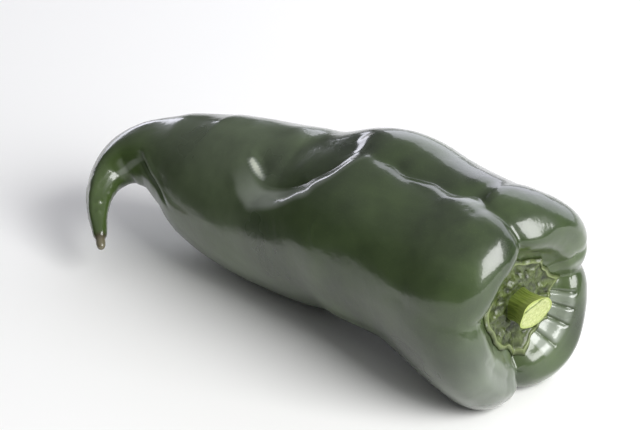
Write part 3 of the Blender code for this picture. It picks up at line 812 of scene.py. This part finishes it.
# radius of the neck, share that the foot is wider by, and radii of the cut, sideways and upwards
STEM_NECK = 0.0042
STEM_FOOT_FLARE = 0.14
STEM_CUT_RADIUS = (0.0053, 0.0050)
STEM_FLUTES = 5
STEM_FLUTE_DEPTH = 0.0003
# share of the flutes' depth at the foot and at the cut
STEM_FLUTE_SHARES = (0.8, 0.35)
# fibres round the rind, their height as a share of the radius, and how far and how often their spacing sways
STEM_FIBRES = 31
STEM_FIBRE_SHARE = 0.010
STEM_FIBRE_SWAY = 2
STEM_FIBRE_SWAYS = 4
# the knife's smaller second cut: angle, share of the radius where it begins, and fall in metres per radius;
# then the depth of the step between the two cuts and its half width as a share of the radius
STEM_SECOND = (60, 0.72, 0.0034)
STEM_STEP_DEPTH = 0.00025
STEM_STEP_HALF = 0.06
PITH_SINKS = 0.00035
# height of the fibre ring, and its place and half width as shares of the radius
FIBRE_RING_RISE = 0.00010
FIBRE_RING_AT = 0.78
FIBRE_RING_HALF = 0.07
# height of what the knife tore, and the size of it as a share of the radius
TORN_HEIGHT = 0.00010
TORN_SIZE = 0.13


def stem_place(row, angle):
    """Rows run from the middle of the foot, up the fluted side and in over the cut face."""
    foot, cut = np.array(STEM_FOOT), np.array(STEM_CUT)
    cut_faces = np.array(STEM_CUT_FACES) / np.linalg.norm(STEM_CUT_FACES)
    grown = (cut - foot) / np.linalg.norm(cut - foot)
    across = np.cross(grown, (0.0, 0.0, 1.0))
    across /= np.linalg.norm(across)
    over = np.cross(across, grown)
    up = blend(STEM_FACE_ROWS, 1 - STEM_FACE_ROWS, row)
    share = np.minimum(np.minimum(row, 1 - row) / STEM_FACE_ROWS, 1)

    # the powers keep the flare near the foot, and the widening and the fibres' end near the cut
    neck = STEM_NECK * (1 + STEM_FOOT_FLARE * (1 - up) ** 4)
    wide = neck + (STEM_CUT_RADIUS[0] - STEM_NECK) * up ** 2.2
    high = neck + (STEM_CUT_RADIUS[1] - STEM_NECK) * up ** 2.2
    at_foot, at_cut = STEM_FLUTE_SHARES
    groove = STEM_FLUTE_DEPTH / STEM_NECK * (1 + np.cos(STEM_FLUTES * angle))
    groove = groove * (at_foot + (at_cut - at_foot) * up)
    sway = STEM_FIBRE_SWAY * np.sin(angle * STEM_FIBRE_SWAYS)
    fibres = STEM_FIBRE_SHARE * np.sin(angle * STEM_FIBRES + sway) * (1 - up ** 6)
    fluted = share * (1 - groove + fibres)
    spoke = (np.cos(angle) * wide * fluted)[:, None] * across
    spoke = spoke + (np.sin(angle) * high * fluted)[:, None] * over

    level = (1 - up)[:, None] * np.array(STEM_FOOT_FACES) + up[:, None] * cut_faces
    slant = -(spoke * level).sum(1) / (level @ grown)
    on_cut = blend(1 - STEM_FACE_ROWS, 1 - STEM_FACE_ROWS + STEM_RIM_ROWS, row)
    face = np.stack([share * np.cos(angle), share * np.sin(angle), up], -1)
    dished = FIBRE_RING_RISE * hump(share - FIBRE_RING_AT, FIBRE_RING_HALF) - PITH_SINKS * (1 - share ** 2)
    torn = TORN_HEIGHT * lumps(face, TORN_SIZE)
    towards, begins, fall = STEM_SECOND
    past_second = share * np.cos(angle - radians(towards)) - begins
    step = on_cut * hump(past_second, STEM_STEP_HALF)
    second = fall * np.maximum(past_second, 0) * up ** 3
    level_off = slant + on_cut * (dished + torn) - STEM_STEP_DEPTH * step - second
    points = foot + up[:, None] * (cut - foot) + spoke + level_off[:, None] * grown
    return PLACE + points, {"face": face, "cut": on_cut, "out": share, "up": up, "step": step}


PITH_WET = "#9aa561"
PITH_PALE = "#bdc489"
FIBRE_RING = "#93a553"
VESSELS = "#a3ab5a"
STEP_SHADE = "#4a5a22"
RIND_GREEN = "#66782d"
RIND_PALE = "#95a64b"
# painted shade for the rind's foot and painted light for its top near the cut
RIND_PAINTED_SHADE = "#37451b"
RIND_PAINTED_LIGHT = "#a9b565"
# sizes across; the real vessels are about 0.2 mm wide and are drawn coarser, so that they show
STALK_RADIUS_MM = 5.3
PITH_MM = 0.8833
VESSEL_MM = 0.7571
FIBRE_MM = 0.3786
# places along the stalk count this much less, which draws the fibres out lengthwise
FIBRE_STRETCH = 0.12


def cut_stalk():
    """Stalk tissue cut with a knife: moist pale pith inside a ring of fibres, with painted shade along the
    step between the two cuts, and a ribbed green rind with painted shade at its foot and painted light
    towards the cut.
    """
    material, tree = new_finish("cut_green_stalk")
    # places on the face are counted in the stalk's radii, and those up the side as shares of its length
    face = add_node(tree, "ShaderNodeAttribute", {"attribute_name": "face"}).outputs["Vector"]
    out = add_node(tree, "ShaderNodeAttribute", {"attribute_name": "out"}).outputs["Fac"]
    up = add_node(tree, "ShaderNodeAttribute", {"attribute_name": "up"}).outputs["Fac"]
    cut = add_node(tree, "ShaderNodeAttribute", {"attribute_name": "cut"}).outputs["Fac"]
    step = add_node(tree, "ShaderNodeAttribute", {"attribute_name": "step"}).outputs["Fac"]

    # the cut face
    pith = add_node(tree, "ShaderNodeTexNoise", Vector=face, Scale=STALK_RADIUS_MM / PITH_MM, Detail=5.0,
                    Roughness=0.6)
    pith_tone = add_node(tree, "ShaderNodeValToRGB", Fac=pith.outputs["Fac"])
    set_stops(pith_tone, (0.30, PITH_WET), (0.62, PITH_PALE))
    ring = add_node(tree, "ShaderNodeMapRange", {"interpolation_type": "SMOOTHSTEP"}, Value=out,
                    From_Min=0.84, From_Max=0.99)
    ringed = add_node(tree, "ShaderNodeMix", {"data_type": "RGBA"}, Factor=ring.outputs[0],
                      _6=pith_tone.outputs[0], _7=hex_colour(FIBRE_RING))
    vessel = add_node(tree, "ShaderNodeTexVoronoi", Vector=face, Scale=STALK_RADIUS_MM / VESSEL_MM,
                      Randomness=1.0)
    dots = add_node(tree, "ShaderNodeMapRange", Value=vessel.outputs["Distance"], From_Min=0.06,
                    From_Max=0.14, To_Min=0.7, To_Max=0.0)
    dotted = add_node(tree, "ShaderNodeMix", {"data_type": "RGBA"}, Factor=dots.outputs[0],
                      _6=ringed.outputs[2], _7=hex_colour(VESSELS))
    step_share = add_node(tree, "ShaderNodeMath", {"operation": "MULTIPLY"}, _0=step, _1=0.9)
    stepped = add_node(tree, "ShaderNodeMix", {"data_type": "RGBA"}, Factor=step_share.outputs[0],
                       _6=dotted.outputs[2], _7=hex_colour(STEP_SHADE))

    # the rind, with painted shade darkening its foot and painted light paling it towards the cut
    lengthwise = add_node(tree, "ShaderNodeMapping", Vector=face, Scale=(1.0, 1.0, FIBRE_STRETCH))
    fibre = add_node(tree, "ShaderNodeTexNoise", Vector=lengthwise.outputs[0],
                     Scale=STALK_RADIUS_MM / FIBRE_MM, Detail=4.0).outputs["Fac"]
    rind = add_node(tree, "ShaderNodeValToRGB", Fac=fibre)
    set_stops(rind, (0.35, RIND_GREEN), (0.70, RIND_PALE))
    low = add_node(tree, "ShaderNodeMapRange", Value=up, From_Min=0.05, From_Max=0.50, To_Min=0.6, To_Max=0.0)
    rind_shaded_foot = add_node(tree, "ShaderNodeMix", {"data_type": "RGBA"}, Factor=low.outputs[0],
                        _6=rind.outputs[0], _7=hex_colour(RIND_PAINTED_SHADE))
    lit_share = add_node(tree, "ShaderNodeMapRange", Value=up, From_Min=0.45, From_Max=0.98, To_Max=0.85)
    rind_shaded_and_lit = add_node(tree, "ShaderNodeMix", {"data_type": "RGBA"}, Factor=lit_share.outputs[0],
                       _6=rind_shaded_foot.outputs[2], _7=hex_colour(RIND_PAINTED_LIGHT))
    colour = add_node(tree, "ShaderNodeMix", {"data_type": "RGBA"}, Factor=cut,
                      _6=rind_shaded_and_lit.outputs[2], _7=stepped.outputs[2])
    bump = add_node(tree, "ShaderNodeBump", Strength=0.5, Distance=0.0002, Height=fibre)
    shader = add_node(tree, "ShaderNodeBsdfPrincipled", Base_Color=colour.outputs[2], Metallic=0.0,
                      Roughness=0.45, IOR=1.42, Normal=bump.outputs[0])
    add_node(tree, "ShaderNodeOutputMaterial", Surface=shader.outputs[0])
    return material


stem = moulded("cut_stem", STEM_COLUMNS, STEM_ROWS, stem_place)
stem.data.materials.append(cut_stalk())
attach(stem, "root")
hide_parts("stem")


# Floor
# A seamless sheet of white paper under the pepper, matt and a little warm. It lies flat and reaches far past
# what the camera sees.
FLOOR_HALF = 3.0
PAPER_WHITE = "#f4f4f2"


def flat_sheet(name, finish, corner_x=FLOOR_HALF, corner_y=FLOOR_HALF, level=0.0):
    """A level square sheet, twice FLOOR_HALF wide, whose corner at +X, +Y is given."""
    form = bmesh.new()
    bmesh.ops.create_grid(form, x_segments=1, y_segments=1, size=FLOOR_HALF)
    bmesh.ops.translate(form, verts=form.verts, vec=(corner_x - FLOOR_HALF, corner_y - FLOOR_HALF, level))
    mesh = bpy.data.meshes.new(name)
    form.to_mesh(mesh)
    form.free()
    mesh.materials.append(finish)
    sheet = bpy.data.objects.new(name, mesh)
    bpy.context.scene.collection.objects.link(sheet)
    return sheet


# uncoated paper, whose fibres scatter light evenly, so that it is white without a shine
paper, paper_tree = new_finish("white_paper")
paper_shader = add_node(paper_tree, "ShaderNodeBsdfPrincipled", Base_Color=hex_colour(PAPER_WHITE),
                        Roughness=0.8)
add_node(paper_tree, "ShaderNodeOutputMaterial", Surface=paper_shader.outputs[0])
floor = flat_sheet("floor", paper)
floor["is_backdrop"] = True


# Studio light
# A big softbox to the right, a lower one close behind, a low white card at the back left and a dim dome that
# is brighter overhead. A black cloth with edges that thin out lies in front on the left, where only the gloss
# shows it.
COOL_WHITE = "#f2f2ff"
# the dome's faint blue, as linear light
DOME_WHITE = (0.97, 0.97, 1.0, 1.0)
# strength of the dome near the horizon and overhead, and of what the camera sees behind the floor
DOME_STRENGTHS = (0.04, 0.42)
BACKDROP_STRENGTH = 0.86
# the cloth's edges at +X and +Y, over what distance they thin out, and how high it lies
CLOTH_EDGES = (-0.038, -0.042)
CLOTH_FADES = 0.030
CLOTH_LEVEL = 0.0005
CLOTH_BLACK = "#1c1c1c"


def softbox(name, place, aim, size, radiance, colour="#ffffff"):
    """A rectangular area lamp of a given brightness, turned to its aim."""
    lamp = bpy.data.lights.new(name, "AREA")
    lamp.shape = "RECTANGLE"
    lamp.size, lamp.size_y = size
    lamp.energy = pi * size[0] * size[1] * radiance
    lamp.color = hex_colour(colour)[:3]
    holder = bpy.data.objects.new(name, lamp)
    holder.location = place
    holder.rotation_euler = (Vector(aim) - Vector(place)).to_track_quat("-Z", "Y").to_euler()
    bpy.context.scene.collection.objects.link(holder)


softbox("key_softbox", place=(0.83, 0.07, 0.57), aim=(0.07, 0.0, 0.03), size=(0.74, 0.66), radiance=9.8)
softbox("back_softbox", place=(-0.09, 0.51, 0.28), aim=(0.04, 0.01, 0.20), size=(0.76, 0.44), radiance=1.8,
        colour=COOL_WHITE)
softbox("white_card", place=(-0.76, 0.235, 0.09), aim=(0.0, 0.0, 0.05), size=(0.40, 0.15), radiance=3.2,
        colour=COOL_WHITE)

world = bpy.data.worlds.new("studio")
bpy.context.scene.world = world
world.use_nodes = True
room = world.node_tree
room.nodes.clear()
direction = add_node(room, "ShaderNodeTexCoord").outputs["Generated"]
overhead = add_node(room, "ShaderNodeSeparateXYZ", Vector=direction).outputs["Z"]
dome = add_node(room, "ShaderNodeMapRange", {"interpolation_type": "SMOOTHSTEP"}, Value=overhead,
                From_Min=0.05, From_Max=0.95, To_Min=DOME_STRENGTHS[0], To_Max=DOME_STRENGTHS[1])
seen = add_node(room, "ShaderNodeLightPath").outputs["Is Camera Ray"]
strength = add_node(room, "ShaderNodeMix", {"data_type": "FLOAT"}, Factor=seen, _2=dome.outputs[0],
                    _3=BACKDROP_STRENGTH)
room_light = add_node(room, "ShaderNodeBackground", Color=DOME_WHITE, Strength=strength.outputs[0])
add_node(room, "ShaderNodeOutputWorld", Surface=room_light.outputs[0])
bpy.context.scene.view_settings.view_transform = "Standard"

# black velvet, whose woven pile swallows nearly all light, so that the gloss shows it as a dark shape
velvet, velvet_tree = new_finish("black_velvet")
velvet_place = add_node(velvet_tree, "ShaderNodeTexCoord").outputs["Object"]
velvet_parts = add_node(velvet_tree, "ShaderNodeSeparateXYZ", Vector=velvet_place)
in_x, in_y = [
    add_node(velvet_tree, "ShaderNodeMapRange", {"interpolation_type": "SMOOTHSTEP"}, Value=part,
             From_Min=edge, From_Max=edge - CLOTH_FADES).outputs[0]
    for part, edge in zip(velvet_parts.outputs, CLOTH_EDGES)]
velvet_share = add_node(velvet_tree, "ShaderNodeMath", {"operation": "MULTIPLY"}, _0=in_x, _1=in_y)
velvet_pile = add_node(velvet_tree, "ShaderNodeBsdfDiffuse", Color=hex_colour(CLOTH_BLACK))
bare = add_node(velvet_tree, "ShaderNodeBsdfTransparent")
velvet_shader = add_node(velvet_tree, "ShaderNodeMixShader", Fac=velvet_share.outputs[0],
                         _1=bare.outputs[0], _2=velvet_pile.outputs[0])
add_node(velvet_tree, "ShaderNodeOutputMaterial", Surface=velvet_shader.outputs[0])
cloth = flat_sheet("black_cloth", velvet, *CLOTH_EDGES, CLOTH_LEVEL)
cloth.visible_camera = False
cloth.visible_diffuse = False
cloth.visible_shadow = False
cloth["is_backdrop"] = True


# Camera
# It stands where the photograph's camera stood, and looks at the middle of the pepper through a longer lens,
# so that the pepper fills the frame.
CAMERA_STANDS = (0.4888, -0.4901, 0.4082)
LENS_MM = 165.0
SENSOR_MM = 36.0
low_corner, high_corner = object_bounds()
aim = (low_corner + high_corner) / 2
camera_data = bpy.data.cameras.new("camera")
camera_data.lens = LENS_MM
camera_data.sensor_width = SENSOR_MM
camera = bpy.data.objects.new("camera", camera_data)
camera.location = CAMERA_STANDS
camera.rotation_euler = (aim - Vector(CAMERA_STANDS)).to_track_quat("-Z", "Y").to_euler()
bpy.context.scene.collection.objects.link(camera)
bpy.context.scene.camera = camera
